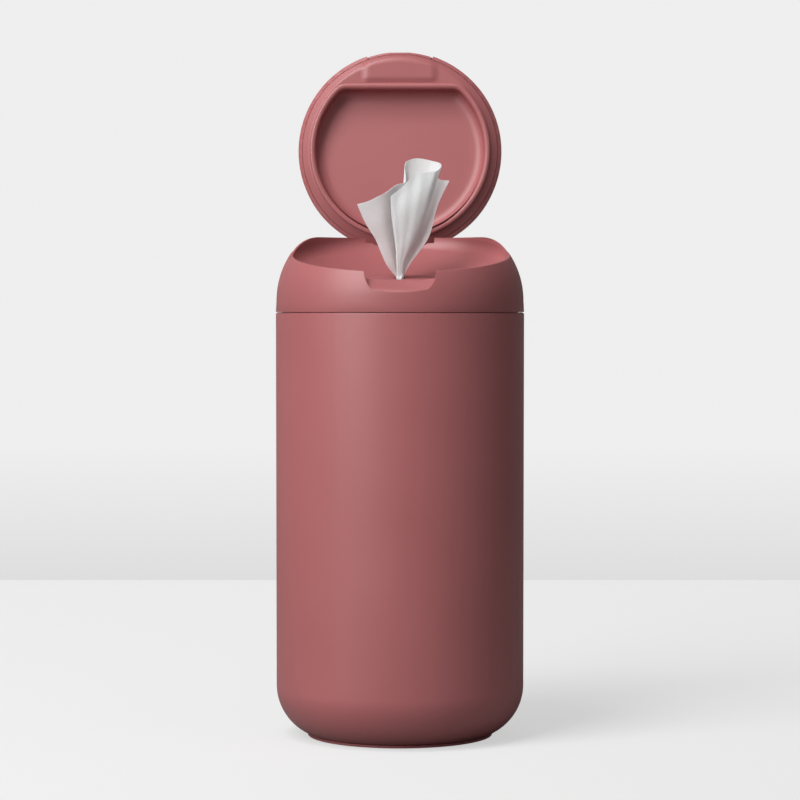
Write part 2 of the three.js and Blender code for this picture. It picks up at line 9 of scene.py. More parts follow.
import bmesh
import bpy
from mathutils import Matrix, Vector


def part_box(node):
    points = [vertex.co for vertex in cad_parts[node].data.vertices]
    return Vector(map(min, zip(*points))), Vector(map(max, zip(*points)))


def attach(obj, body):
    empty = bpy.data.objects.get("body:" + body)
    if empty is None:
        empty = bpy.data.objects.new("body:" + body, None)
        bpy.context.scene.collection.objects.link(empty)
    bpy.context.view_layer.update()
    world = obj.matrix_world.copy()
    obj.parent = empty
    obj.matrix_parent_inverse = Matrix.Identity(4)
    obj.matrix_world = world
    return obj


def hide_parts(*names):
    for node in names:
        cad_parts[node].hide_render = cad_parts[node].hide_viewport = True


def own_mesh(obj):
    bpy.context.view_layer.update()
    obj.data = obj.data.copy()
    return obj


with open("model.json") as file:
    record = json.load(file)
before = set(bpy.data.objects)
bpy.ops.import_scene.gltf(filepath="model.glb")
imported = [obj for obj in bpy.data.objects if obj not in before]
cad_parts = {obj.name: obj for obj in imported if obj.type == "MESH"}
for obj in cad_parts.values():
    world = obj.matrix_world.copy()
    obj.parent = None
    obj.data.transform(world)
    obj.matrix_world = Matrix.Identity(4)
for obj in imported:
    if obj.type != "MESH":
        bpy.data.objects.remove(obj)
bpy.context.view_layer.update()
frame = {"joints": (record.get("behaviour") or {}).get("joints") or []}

# Camera: a long lens, level with the seam between canister and collar and tipped a little down,
# so that the lid is seen from just below and the foot from just above.
camera_data = bpy.data.cameras.new("camera")
camera_data.lens = 121.5
camera_data.sensor_width = 36
camera = bpy.data.objects.new("camera", camera_data)
camera.location = (0, -1.1429, 0.1803)
camera.rotation_euler = (math.radians(90 - 1.92), 0, 0)
bpy.context.scene.collection.objects.link(camera)
bpy.context.scene.camera = camera

# Base pad: a thin non-slip disc in a soft plastic of the body's colour, pressed into the underside
# of the canister by its boss. Its edge shows as a fine step below the rounded foot.
mm = 0.001


def arc(centre_r, centre_z, radius, start, end, steps):
    """Points of a round stretch of a half section."""
    points = []
    for i in range(steps + 1):
        angle = start + (end - start) * i / steps
        points.append((centre_r + radius * math.cos(angle), centre_z + radius * math.sin(angle)))
    return points


def rounded(corner, before, after, radius, steps=5):
    """A corner of a half section rounded between the points before and after it."""
    here, back, on = Vector(corner), Vector(before), Vector(after)
    to_back = (back - here).normalized()
    to_on = (on - here).normalized()
    half = math.acos(max(-1, min(1, to_back.dot(to_on)))) / 2
    reach = radius / math.tan(half)
    first, last = here + to_back * reach, here + to_on * reach
    points = []
    for i in range(steps + 1):
        t = i / steps
        points.append(tuple(first * (1 - t) ** 2 + here * 2 * t * (1 - t) + last * t ** 2))
    return points


def add_piece(name, mesh):
    piece = bpy.data.objects.new(name, mesh)
    bpy.context.scene.collection.objects.link(piece)
    return piece


def turned(name, section, facets=192):
    """A round part: a half section of (radius, height) turned about the upright axis."""
    shape = bmesh.new()
    rings = []
    for radius, height in section:
        if radius < 1e-7:
            rings.append([shape.verts.new((0, 0, height))])
            continue
        ring = []
        for i in range(facets):
            turn = 2 * math.pi * i / facets
            ring.append(shape.verts.new((radius * math.sin(turn), -radius * math.cos(turn), height)))
        rings.append(ring)
    closed = section[0][0] > 1e-7
    pairs = list(zip(rings, rings[1:])) + ([(rings[-1], rings[0])] if closed else [])
    for low, high in pairs:
        for i in range(facets):
            j = (i + 1) % facets
            if len(low) == 1 and len(high) > 1:
                shape.faces.new((low[0], high[j], high[i]))
            elif len(high) == 1 and len(low) > 1:
                shape.faces.new((low[i], low[j], high[0]))
            elif len(low) > 1:
                shape.faces.new((low[i], low[j], high[j], high[i]))
    bmesh.ops.recalc_face_normals(shape, faces=shape.faces)
    mesh = bpy.data.meshes.new(name)
    shape.to_mesh(mesh)
    shape.free()
    return add_piece(name, mesh)


def shade_smooth(piece, sharp_angle=32):
    """Smooth shading that stops at edges sharper than the angle, in degrees."""
    for polygon in piece.data.polygons:
        polygon.use_smooth = True
    piece.data.set_sharp_from_angle(angle=math.radians(sharp_angle))


def socket_group(name, inputs, outputs):
    """An empty shader group with named number inputs and outputs."""
    group = bpy.data.node_groups.new(name, "ShaderNodeTree")
    for label, value in inputs:
        socket = group.interface.new_socket(label, in_out="INPUT", socket_type="NodeSocketFloat")
        socket.default_value = value
    for label, kind in outputs:
        group.interface.new_socket(label, in_out="OUTPUT", socket_type=kind)
    group.nodes.new("NodeGroupInput")
    group.nodes.new("NodeGroupOutput")
    return group, group.nodes["Group Input"], group.nodes["Group Output"]


# Spark-eroded mould grain: fine pebbles for the bump, and broad faint clouds for tone and gloss
mould_grain, grain_in, grain_out = socket_group(
    "mould_grain",
    [("Pebble Scale", 2600.0), ("Cloud Scale", 28.0)],
    [("Pebbles", "NodeSocketFloat"), ("Clouds", "NodeSocketFloat")],
)
grain_place = mould_grain.nodes.new("ShaderNodeTexCoord")
grain_pebbles = mould_grain.nodes.new("ShaderNodeTexNoise")
grain_pebbles.inputs["Detail"].default_value = 2.0
grain_clouds = mould_grain.nodes.new("ShaderNodeTexNoise")
grain_clouds.inputs["Detail"].default_value = 3.0
for texture, scale, output in (
    (grain_pebbles, "Pebble Scale", "Pebbles"),
    (grain_clouds, "Cloud Scale", "Clouds"),
):
    mould_grain.links.new(grain_place.outputs["Object"], texture.inputs["Vector"])
    mould_grain.links.new(grain_in.outputs[scale], texture.inputs["Scale"])
    mould_grain.links.new(texture.outputs["Fac"], grain_out.inputs[output])


def moulded_plastic(name, dark, light, gloss_low, gloss_high, grain_height):
    """Moulded plastic whose tone and gloss drift between two values, over a fine mould grain."""
    material = bpy.data.materials.new(name)
    material.use_nodes = True
    nodes, links = material.node_tree.nodes, material.node_tree.links
    shader = nodes["Principled BSDF"]
    grain = nodes.new("ShaderNodeGroup")
    grain.node_tree = mould_grain
    tone = nodes.new("ShaderNodeValToRGB")
    tone.color_ramp.elements[0].position = 0.3
    tone.color_ramp.elements[0].color = (*dark, 1)
    tone.color_ramp.elements[1].position = 0.7
    tone.color_ramp.elements[1].color = (*light, 1)
    gloss = nodes.new("ShaderNodeMapRange")
    gloss.inputs["From Min"].default_value = 0.3
    gloss.inputs["From Max"].default_value = 0.7
    gloss.inputs["To Min"].default_value = gloss_low
    gloss.inputs["To Max"].default_value = gloss_high
    bump = nodes.new("ShaderNodeBump")
    bump.inputs["Strength"].default_value = 0.35
    bump.inputs["Distance"].default_value = grain_height
    links.new(grain.outputs["Clouds"], tone.inputs["Fac"])
    links.new(tone.outputs["Color"], shader.inputs["Base Color"])
    links.new(grain.outputs["Clouds"], gloss.inputs["Value"])
    links.new(gloss.outputs["Result"], shader.inputs["Roughness"])
    links.new(grain.outputs["Pebbles"], bump.inputs["Height"])
    links.new(bump.outputs["Normal"], shader.inputs["Normal"])
    shader.inputs["Specular IOR Level"].default_value = 0.5
    return material


def finish_piece(piece, material, body, material_slot, *nodes):
    """Gives a piece its material and body, and hides the model's parts that it stands for. The material_slot
    argument is not used.
    """
    piece.data.materials.clear()
    piece.data.materials.append(material)
    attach(piece, body)
    if nodes:
        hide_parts(*nodes)


pad_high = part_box("base_pad")[1]
pad_r = pad_high[0]
pad_edge = 1.15 * mm
boss_r = 30 * mm
soft_rose = moulded_plastic("soft_rose", (0.284, 0.082, 0.086), (0.302, 0.088, 0.092), 0.62, 0.7, 0.00002)
base_pad = turned("base_pad_disc", [
    (0, 0),
    *rounded((pad_r, 0), (0, 0), (pad_r, pad_edge), 0.4 * mm),
    *rounded((pad_r, pad_edge), (pad_r, 0), (boss_r, pad_edge), 0.25 * mm),
    (boss_r, pad_edge),
    (boss_r, pad_high[2]),
    (0, pad_high[2]),
])
shade_smooth(base_pad)
finish_piece(base_pad, soft_rose, "base", "soft_rose", "base_pad")

# Canister: injection-moulded in satin rose plastic, a straight wall with a large round at the foot.
# A stepped neck at its top takes the collar, and the step is the lower side of the seam.
can_low, can_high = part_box("canister")
collar_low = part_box("collar")[0]
body_r = 52.45 * mm
foot_wall_r = 52.35 * mm
corner_r = 22 * mm
body_bottom = can_low[2]
body_top = 178.775 * mm
neck_r = 49.85 * mm
neck_inner_r = 48.05 * mm
neck_top = can_high[2]
wall = 1.8 * mm
seam_round = 0.35 * mm
corner_centre_r = foot_wall_r - corner_r
corner_centre_z = body_bottom - 0.05 * mm + math.sqrt(
    corner_r ** 2 - (pad_r + 0.3 * mm - corner_centre_r) ** 2
)
foot_angle = math.asin((body_bottom - corner_centre_z) / corner_r)
recess_top = body_bottom + 1.2 * mm
floor_top = recess_top + 2 * mm
inner_corner = corner_r - wall
rose_plastic = moulded_plastic(
    "rose_plastic", (0.3, 0.088, 0.091), (0.314, 0.094, 0.097), 0.42, 0.48, 0.00001)
canister = turned("canister_body", [
    (0, recess_top),
    (boss_r + 0.3 * mm, recess_top),
    (boss_r + 0.3 * mm, body_bottom),
    *arc(corner_centre_r, corner_centre_z, corner_r, foot_angle, 0, 40),
    *rounded((body_r, body_top), (foot_wall_r, corner_centre_z), (neck_r, body_top), seam_round),
    (body_r - 0.6 * mm, body_top),
    (body_r - 0.6 * mm, body_top + 0.32 * mm),
    (neck_r, body_top + 0.32 * mm),
    (neck_r, neck_top),
    (neck_inner_r, neck_top),
    (neck_inner_r, body_top - 4 * mm),
    (body_r - wall, body_top - 8 * mm),
    *arc(corner_centre_r, corner_centre_z, inner_corner, 0,
         math.asin((floor_top - corner_centre_z) / inner_corner), 12),
    (0, floor_top),
], 256)
shade_smooth(canister)
finish_piece(canister, rose_plastic, "base", "rose_plastic", "canister")

# Roll of wipes and the leading wipe's cloth: a moist white nonwoven, its fibres pressed into a
# fine open texture. The roll stands loose in the canister and is unwound from its middle.
wipe_fibres, fibres_in, fibres_out = socket_group(
    "wipe_fibres",
    [("Fibre Scale", 900.0), ("Emboss Scale", 700.0)],
    [("Height", "NodeSocketFloat"), ("Tone", "NodeSocketFloat")],
)
fibre_place = wipe_fibres.nodes.new("ShaderNodeTexCoord")
fibre_noise = wipe_fibres.nodes.new("ShaderNodeTexNoise")
fibre_noise.inputs["Detail"].default_value = 5.0
fibre_noise.inputs["Distortion"].default_value = 1.2
emboss = wipe_fibres.nodes.new("ShaderNodeTexVoronoi")
emboss.feature = "SMOOTH_F1"
fibre_sum = wipe_fibres.nodes.new("ShaderNodeMath")
fibre_sum.operation = "ADD"
wipe_fibres.links.new(fibre_place.outputs["Object"], fibre_noise.inputs["Vector"])
wipe_fibres.links.new(fibre_place.outputs["Object"], emboss.inputs["Vector"])
wipe_fibres.links.new(fibres_in.outputs["Fibre Scale"], fibre_noise.inputs["Scale"])
wipe_fibres.links.new(fibres_in.outputs["Emboss Scale"], emboss.inputs["Scale"])
wipe_fibres.links.new(fibre_noise.outputs["Fac"], fibre_sum.inputs[0])
wipe_fibres.links.new(emboss.outputs["Distance"], fibre_sum.inputs[1])
wipe_fibres.links.new(fibre_sum.outputs["Value"], fibres_out.inputs["Height"])
wipe_fibres.links.new(fibre_noise.outputs["Fac"], fibres_out.inputs["Tone"])

wipe_cloth = bpy.data.materials.new("wipe_cloth")
wipe_cloth.use_nodes = True
cloth_nodes, cloth_links = wipe_cloth.node_tree.nodes, wipe_cloth.node_tree.links
cloth_shader = cloth_nodes["Principled BSDF"]
cloth_fibres = cloth_nodes.new("ShaderNodeGroup")
cloth_fibres.node_tree = wipe_fibres
cloth_tone = cloth_nodes.new("ShaderNodeValToRGB")
cloth_tone.color_ramp.elements[0].color = (0.57, 0.585, 0.586, 1)
cloth_tone.color_ramp.elements[1].color = (0.65, 0.67, 0.672, 1)
cloth_bump = cloth_nodes.new("ShaderNodeBump")
cloth_bump.inputs["Strength"].default_value = 0.35
cloth_bump.inputs["Distance"].default_value = 0.00012
cloth_shader.inputs["Roughness"].default_value = 0.85
cloth_shader.inputs["Sheen Weight"].default_value = 0.25
cloth_shader.inputs["Sheen Roughness"].default_value = 0.5
cloth_shader.inputs["Subsurface Weight"].default_value = 0.4
cloth_shader.inputs["Subsurface Radius"].default_value = (0.004, 0.004, 0.004)
cloth_shader.inputs["Subsurface Scale"].default_value = 1.0
cloth_links.new(cloth_fibres.outputs["Tone"], cloth_tone.inputs["Fac"])
cloth_links.new(cloth_tone.outputs["Color"], cloth_shader.inputs["Base Color"])
cloth_links.new(cloth_fibres.outputs["Height"], cloth_bump.inputs["Height"])
cloth_links.new(cloth_bump.outputs["Normal"], cloth_shader.inputs["Normal"])

roll_low, roll_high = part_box("wipe_roll")
roll_r = roll_high[0]
core_r = 10 * mm
turn_pitch = 1.1 * mm
roll_section = [(core_r, roll_low[2]), (roll_r - 8 * mm, roll_low[2]), (roll_r, roll_low[2] + 8 * mm)]
roll_section += [(roll_r, roll_high[2] - 2 * mm)]
turn_count = int((roll_r - 2 * mm - core_r) / turn_pitch)
for turn in range(turn_count):
    edge_r = roll_r - 2 * mm - turn * turn_pitch
    roll_section += [(edge_r, roll_high[2] - 0.5 * mm), (edge_r - turn_pitch / 2, roll_high[2])]
roll_section += [(core_r, roll_high[2] - 0.5 * mm)]
wipe_roll = turned("wipe_roll_turns", roll_section, 96)
shade_smooth(wipe_roll, 60)
finish_piece(wipe_roll, wipe_cloth, "base", "wipe_cloth", "wipe_roll")

# Neck seal: a flat soft ring that lies on the neck, under the land in the collar.
seal_low, seal_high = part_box("neck_seal")
seal_rubber = moulded_plastic("seal_rubber", (0.7, 0.7, 0.7), (0.76, 0.76, 0.75), 0.6, 0.7, 0.00002)
seal_outer = seal_high[0]
seal_inner = seal_outer - 1.8 * mm
neck_seal = turned("neck_seal_ring", [
    *rounded((seal_outer, seal_low[2]), (seal_inner, seal_low[2]), (seal_outer, seal_high[2]), 0.3 * mm),
    *rounded((seal_outer, seal_high[2]), (seal_outer, seal_low[2]), (seal_inner, seal_high[2]), 0.3 * mm),
    *rounded((seal_inner, seal_high[2]), (seal_outer, seal_high[2]), (seal_inner, seal_low[2]), 0.3 * mm),
    *rounded((seal_inner, seal_low[2]), (seal_inner, seal_high[2]), (seal_outer, seal_low[2]), 0.3 * mm),
], 128)
shade_smooth(neck_seal)
finish_piece(neck_seal, seal_rubber, "closure", "seal_rubber", "neck_seal")

# Collar: one moulding of the same plastic. Its dome ends in a thin lip, level at the rear and sloping
# in front, round a smooth bowl; the front has a thumb pocket and the rear a slot for the lid's arm.
seam_z = 179 * mm
skirt_bottom = collar_low[2]
dome_z = seam_z + 5 * mm
dome_r = 36 * mm
dome_centre_r = 52.2 * mm - dome_r
lid_tilt = math.radians(9.8)
lid_centre = Vector((0, -5 * mm, seam_z + 24.3 * mm))
lid_r = 44.85 * mm
bowl_rim_r = 45.15 * mm
rim_r = 45.9 * mm
rear_rim_z = seam_z + 32.5 * mm
rise_start = -3 * mm
rise_end = 24 * mm
bowl_depth = 12.3 * mm
bowl_round = 6 * mm
bowl_lift = 1.2 * mm
bowl_round_r = bowl_rim_r - bowl_round
bowl_r = (bowl_round_r ** 2 + (bowl_depth + bowl_lift) ** 2 - bowl_round ** 2) / (
    2 * (bowl_depth + bowl_lift - bowl_round)
)
bowl_centre = bowl_r - bowl_depth
nozzle_r = 17 * mm
nozzle_drop = math.sqrt(bowl_r ** 2 - nozzle_r ** 2) - bowl_centre
nozzle_thickness = 1.2 * mm
hinge_place = Vector(frame["joints"][1]["pos_m"])
slot_width = 29.9 * mm
beyond = 20 * mm


def in_lid_frame(piece, tilt=lid_tilt):
    """Moves a part's mesh from the lid's own frame to the closed lid's place."""
    piece.data.transform(Matrix.Translation(lid_centre) @ Matrix.Rotation(tilt, 4, "X"))
    return piece


def dome_section(inset, bottom, steps=40):
    """Half section of the dome that collar and closed lid share."""
    shoulder = math.radians(48)
    shoulder_r = 9 * mm
    top_z = seam_z + 38 * mm
    r = dome_centre_r + (dome_r - shoulder_r) * math.cos(shoulder)
    z = dome_z + (dome_r - shoulder_r) * math.sin(shoulder)
    drop = top_z - z
    crown_r = (r ** 2 + drop ** 2 - shoulder_r ** 2) / (2 * (drop - shoulder_r))
    crown_z = top_z - crown_r
    shoulder_end = math.atan2(z - crown_z, r)
    return [
        (0, bottom),
        (body_r - inset, bottom),
        *arc(dome_centre_r, dome_z, dome_r - inset, 0, shoulder, steps),
        *arc(r, z, shoulder_r - inset, shoulder, shoulder_end, 10)[1:],
        *arc(0, crown_z, crown_r - inset, shoulder_end, math.pi / 2, 10)[1:-1],
        (0, crown_z + crown_r - inset),
    ]


def lip_height(y):
    """Height of the lip: in the lid's plane in front, eased up to the level rear rim."""
    slope = math.tan(lid_tilt)
    t = (y - rise_start) / (rise_end - rise_start)
    if t <= 0:
        return lid_centre.z + (y - lid_centre.y) * slope
    if t >= 1:
        return rear_rim_z
    ease = t * t * (3 - 2 * t)
    start = lid_centre.z + (rise_start - lid_centre.y) * slope
    return start * (1 - ease) + rear_rim_z * ease + (rise_end - rise_start) * slope * t * (1 - t) ** 2


def prism_along_x(name, outline, half_width):
    """A block whose (y, z) outline runs from side to side."""
    shape = bmesh.new()
    left = [shape.verts.new((-half_width, y, z)) for y, z in outline]
    right = [shape.verts.new((half_width, y, z)) for y, z in outline]
    shape.faces.new(left)
    shape.faces.new(reversed(right))
    for i in range(len(outline)):
        j = (i + 1) % len(outline)
        shape.faces.new((left[j], left[i], right[i], right[j]))
    bmesh.ops.recalc_face_normals(shape, faces=shape.faces)
    mesh = bpy.data.meshes.new(name)
    shape.to_mesh(mesh)
    shape.free()
    return add_piece(name, mesh)


def block(x0, x1, y0, y1, z0, z1):
    """A square-cornered cutter."""
    piece = prism_along_x("block", [(y0, z0), (y1, z0), (y1, z1), (y0, z1)], (x1 - x0) / 2)
    piece.data.transform(Matrix.Translation(((x0 + x1) / 2, 0, 0)))
    return piece


def below_lip():
    reach = body_r + beyond
    points = [(-reach, seam_z - beyond), (reach, seam_z - beyond), (reach, rear_rim_z)]
    for i in range(24, -1, -1):
        y = rise_start + (rise_end - rise_start) * i / 24
        points.append((y, lip_height(y)))
    points.append((-reach, lip_height(-reach)))
    return prism_along_x("below_lip", points, reach)


def lid_plug(radius, low, high, facets=192):
    return in_lid_frame(turned("lid_plug", [(0, low), (radius, low), (radius, high), (0, high)], facets))


def bowl_plug(grow):
    radius = bowl_r + grow
    round_start = math.atan2(bowl_lift - bowl_centre, bowl_round_r)
    return in_lid_frame(turned("bowl_plug", [
        (0, bowl_centre - radius),
        *arc(0, bowl_centre, radius, -math.pi / 2, round_start, 36)[1:],
        *arc(bowl_round_r, bowl_lift, bowl_round + grow, round_start, 0, 14)[1:],
        (bowl_rim_r + grow, beyond),
        (0, beyond),
    ]))


def settle(piece):
    """Turns a piece's modifiers into its mesh."""
    graph = bpy.context.evaluated_depsgraph_get()
    mesh = bpy.data.meshes.new_from_object(piece.evaluated_get(graph))
    piece.modifiers.clear()
    piece.data = mesh
    return piece


def join_shape(piece, how, *tools):
    """Joins ('UNION'), cuts ('DIFFERENCE') or crosses ('INTERSECT') a piece with each tool."""
    for tool in tools:
        step = piece.modifiers.new("shape", "BOOLEAN")
        step.operation = how
        step.solver = "MANIFOLD"
        step.object = tool
        settle(piece)
        bpy.data.objects.remove(tool)
    return piece


def soften_edges(piece, width, angle=38, segments=2):
    """A small round on every sharp edge."""
    shape = bmesh.new()
    shape.from_mesh(piece.data)
    bmesh.ops.remove_doubles(shape, verts=shape.verts, dist=2e-6)
    bmesh.ops.dissolve_degenerate(shape, edges=shape.edges, dist=2e-6)
    shape.to_mesh(piece.data)
    shape.free()
    bevel = piece.modifiers.new("edge_round", "BEVEL")
    bevel.width = width
    bevel.segments = segments
    bevel.limit_method = "ANGLE"
    bevel.angle_limit = math.radians(angle)
    bevel.use_clamp_overlap = True
    return settle(piece)


def thumb_pocket():
    """The pocket's cutter: its face curves in from the skirt and its lower corners are rounded."""
    front = -body_r - beyond
    half = 14.6 * mm
    low, high = (-52.3 * mm, seam_z + 8.3 * mm), (-44.4 * mm, seam_z + 14 * mm)
    face = rounded(low, (low[0], seam_z), high, 2.6 * mm, 12)
    side = prism_along_x("pocket_side", [
        (front, face[0][1] - 2 * mm), (face[0][0] - 0.3 * mm, face[0][1] - 2 * mm), *face, high,
        (high[0], rear_rim_z), (front, rear_rim_z),
    ], half)
    wide, tall = 6.5 * mm, 9 * mm
    bottom = seam_z + 8.3 * mm
    outline = [(half, rear_rim_z), (-half, rear_rim_z)]
    for hand, start in ((-1, 1.0), (1, 1.5)):
        for x, z in arc(0, 0, 1, start * math.pi, (start + 0.5) * math.pi, 14):
            outline.append((hand * (half - wide) + wide * x, bottom + tall + tall * z))
    mask = prism_along_x("pocket_mask", outline, beyond)
    quarter_turn = Matrix.Rotation(-math.pi / 2, 4, "Z")
    mask.data.transform(Matrix.Translation((0, high[0] + 1 * mm - beyond, 0)) @ quarter_turn)
    return join_shape(side, "INTERSECT", mask)


cheek = slot_width / 2 + 3.2 * mm
pocket_bottom = hinge_place.z - 5 * mm
pocket_front = hinge_place.y - 3.8 * mm
skirt_ledge = neck_top + 1.8 * mm
collar = turned("collar_dome", dome_section(0, skirt_bottom), 256)
join_shape(collar, "UNION", lid_plug(rim_r, -5 * mm, beyond, 256))
join_shape(collar, "INTERSECT", below_lip())
hollow = turned("hollow", dome_section(2 * mm, seam_z + 1 * mm, 16), 128)
join_shape(hollow, "DIFFERENCE",
           bowl_plug(2 * mm),
           block(-cheek, cheek, pocket_front - 2 * mm, body_r + beyond, pocket_bottom - 2 * mm, rear_rim_z),
           lid_plug(nozzle_r + 2 * mm, -nozzle_drop - 3.5 * mm, -6 * mm),
           block(-16.6 * mm, 16.6 * mm, -body_r, -42.4 * mm, seam_z + 5 * mm, rear_rim_z),
           turned("land", [(46.05 * mm, skirt_ledge), (body_r + 1 * mm, skirt_ledge),
                           (body_r + 1 * mm, skirt_ledge + 2 * mm), (46.05 * mm, skirt_ledge + 2 * mm)], 128))
join_shape(collar, "DIFFERENCE",
           turned("neck_room", [(0, seam_z - beyond), (neck_r + 0.3 * mm, seam_z - beyond),
                                (neck_r + 0.3 * mm, skirt_ledge), (0, skirt_ledge)], 128),
           hollow,
           bowl_plug(0),
           thumb_pocket(),
           block(-slot_width / 2, slot_width / 2, pocket_front, body_r + beyond,
                 pocket_bottom, rear_rim_z + beyond),
           block(-slot_width / 2, slot_width / 2, hinge_place.y - 12 * mm, body_r + beyond,
                 rear_rim_z - 2.3 * mm, rear_rim_z + beyond),
           in_lid_frame(turned("nozzle_seat", [
               (0, -nozzle_drop - beyond), (14.5 * mm, -nozzle_drop - beyond),
               (14.5 * mm, -nozzle_drop - 1.5 * mm), (nozzle_r + 0.15 * mm, -nozzle_drop - 1.5 * mm),
               (nozzle_r + 0.15 * mm, 0), (0, 0)], 128)))
pin_bore = turned("pin_bore", [(0, -18 * mm), (1.55 * mm, -18 * mm), (1.55 * mm, 18 * mm), (0, 18 * mm)], 48)
pin_bore.data.transform(Matrix.Translation(hinge_place) @ Matrix.Rotation(math.pi / 2, 4, "Y"))
join_shape(collar, "DIFFERENCE", pin_bore)
soften_edges(collar, 0.22 * mm)
shade_smooth(collar)
finish_piece(collar, rose_plastic, "closure", "rose_plastic", "collar")

# Nozzle: a soft crowned disc held in the middle of the bowl. Six slits from its hole make petals
# that grip the wipe.
nozzle_crown = 0.9 * mm
hole_r = 2.3 * mm
crown_r = (nozzle_r ** 2 + nozzle_crown ** 2) / (2 * nozzle_crown)
top_z = -nozzle_drop + nozzle_crown
nozzle = in_lid_frame(turned("nozzle_disc", [
    (hole_r, top_z - nozzle_thickness - nozzle_crown),
    (nozzle_r, top_z - nozzle_thickness - nozzle_crown),
    *arc(0, top_z - crown_r, crown_r, math.asin((crown_r - nozzle_crown) / crown_r),
         math.acos(hole_r / crown_r), 16),
], 128))
for i in range(6):
    slit = block(0, 9.3 * mm, -0.15 * mm, 0.15 * mm, top_z - beyond, top_z + beyond)
    slit.data.transform(Matrix.Rotation(math.radians(60 * i), 4, "Z"))
    join_shape(nozzle, "DIFFERENCE", in_lid_frame(slit))
soften_edges(nozzle, 0.12 * mm)
shade_smooth(nozzle)
finish_piece(nozzle, soft_rose, "closure", "soft_rose", "nozzle")

# Hinge pin: a length of drawn steel wire pressed through the cheeks of the collar and the knuckle
# of the lid, its ends chamfered.
pin_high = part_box("hinge_pin")[1]
pin_r = 1.25 * mm
pin_half = pin_high[0]
pin_steel = bpy.data.materials.new("pin_steel")
pin_steel.use_nodes = True
steel_nodes, steel_links = pin_steel.node_tree.nodes, pin_steel.node_tree.links
steel_shader = steel_nodes["Principled BSDF"]
steel_place = steel_nodes.new("ShaderNodeTexCoord")
steel_stretch = steel_nodes.new("ShaderNodeMapping")
steel_stretch.inputs["Scale"].default_value = (40, 4000, 4000)
steel_lines = steel_nodes.new("ShaderNodeTexNoise")
steel_lines.inputs["Scale"].default_value = 1.0
steel_gloss = steel_nodes.new("ShaderNodeMapRange")
steel_gloss.inputs["To Min"].default_value = 0.22
steel_gloss.inputs["To Max"].default_value = 0.42
steel_shader.inputs["Metallic"].default_value = 1.0
steel_shader.inputs["Base Color"].default_value = (0.52, 0.52, 0.53, 1)
steel_links.new(steel_place.outputs["Object"], steel_stretch.inputs["Vector"])
steel_links.new(steel_stretch.outputs["Vector"], steel_lines.inputs["Vector"])
steel_links.new(steel_lines.outputs["Fac"], steel_gloss.inputs["Value"])
steel_links.new(steel_gloss.outputs["Result"], steel_shader.inputs["Roughness"])
hinge_pin = turned("hinge_pin_wire", [
    (0, -pin_half), (pin_r - 0.3 * mm, -pin_half), (pin_r, -pin_half + 0.3 * mm),
    (pin_r, pin_half - 0.3 * mm), (pin_r - 0.3 * mm, pin_half), (0, pin_half),
], 48)
hinge_pin.data.transform(Matrix.Translation(hinge_place) @ Matrix.Rotation(math.pi / 2, 4, "Y"))
shade_smooth(hinge_pin)
finish_piece(hinge_pin, pin_steel, "closure", "pin_steel", "hinge_pin")

# Lid shell: the outside of the lid, one moulding with the knuckle and arm of its hinge. Its lip is
# set back in front over the thumb pocket. It is shaped closed, then swung open to where it rests.
lid_open = math.radians(frame["joints"][1]["range_deg"][1])
lid_wall = 1.6 * mm
lid_lift = 0.2 * mm


def swing_open(piece):
    turn = Matrix.Rotation(-lid_open, 4, "X")
    piece.data.transform(Matrix.Translation(hinge_place) @ turn @ Matrix.Translation(-hinge_place))
    return piece


def rod_along_x(radius, half_length, facets=64):
    section = [(0, -half_length), (radius, -half_length), (radius, half_length), (0, half_length)]
    rod = turned("rod", section, facets)
    rod.data.transform(Matrix.Translation(hinge_place) @ Matrix.Rotation(math.pi / 2, 4, "Y"))
    return rod


def lid_form(inset, low):
    """The closed lid's outside moved inward: the dome, filled out level with the lip at the rear."""
    form = turned("lid_form", dome_section(inset, seam_z), 256)
    filled = below_lip()
    filled.data.transform(Matrix.Translation((0, 0, -inset)))
    join_shape(form, "UNION", filled)
    return join_shape(form, "INTERSECT", lid_plug(lid_r - inset, low, 2 * beyond, 256))


arm_half = slot_width / 2 - 0.3 * mm
arm_rear = hinge_place.y + 3 * mm
arm_top = rear_rim_z + lid_wall
lid_shell = lid_form(0, lid_lift)
join_shape(lid_shell, "DIFFERENCE", lid_form(lid_wall, -1 * mm))
edge_rise = lid_lift + 1.3 * mm
edge_pitch = 0.7
panel_level = -1.8 * mm
slope_start = lid_r - (edge_rise - panel_level) / edge_pitch
join_shape(lid_shell, "DIFFERENCE", in_lid_frame(turned("edge_slope", [
    (0, -beyond), (lid_r + beyond, -beyond), (lid_r + beyond, edge_rise), (lid_r, edge_rise),
    (slope_start, panel_level), (0, panel_level)])))
join_shape(lid_shell, "DIFFERENCE", in_lid_frame(
    block(-14.6 * mm, 14.6 * mm, -lid_r - beyond, -lid_r + 0.8 * mm, -beyond, 2 * mm)))
tab_step = turned("tab_step", [
    (lid_r - 0.6 * mm, -beyond), (lid_r + beyond, -beyond),
    (lid_r + beyond, 2 * beyond), (lid_r - 0.6 * mm, 2 * beyond)], 256)
join_shape(tab_step, "INTERSECT", block(
    -14.6 * mm, 14.6 * mm, -lid_r - beyond, 0, -2 * beyond, 3 * beyond))
join_shape(lid_shell, "DIFFERENCE", in_lid_frame(tab_step))
for side in (-1, 1):
    tab_nick = block(
        side * 14.1 * mm - 0.5 * mm, side * 14.1 * mm + 0.5 * mm,
        -lid_r, -lid_r + 3.8 * mm, -beyond, edge_rise + 0.4 * mm)
    join_shape(lid_shell, "DIFFERENCE", in_lid_frame(tab_nick))
lid_arm = block(-arm_half, arm_half, hinge_place.y - 2.9 * mm, arm_rear, hinge_place.z, arm_top)
join_shape(lid_arm, "UNION", block(
    -arm_half, arm_half, hinge_place.y - 3.9 * mm, arm_rear, rear_rim_z - 2 * mm, arm_top))
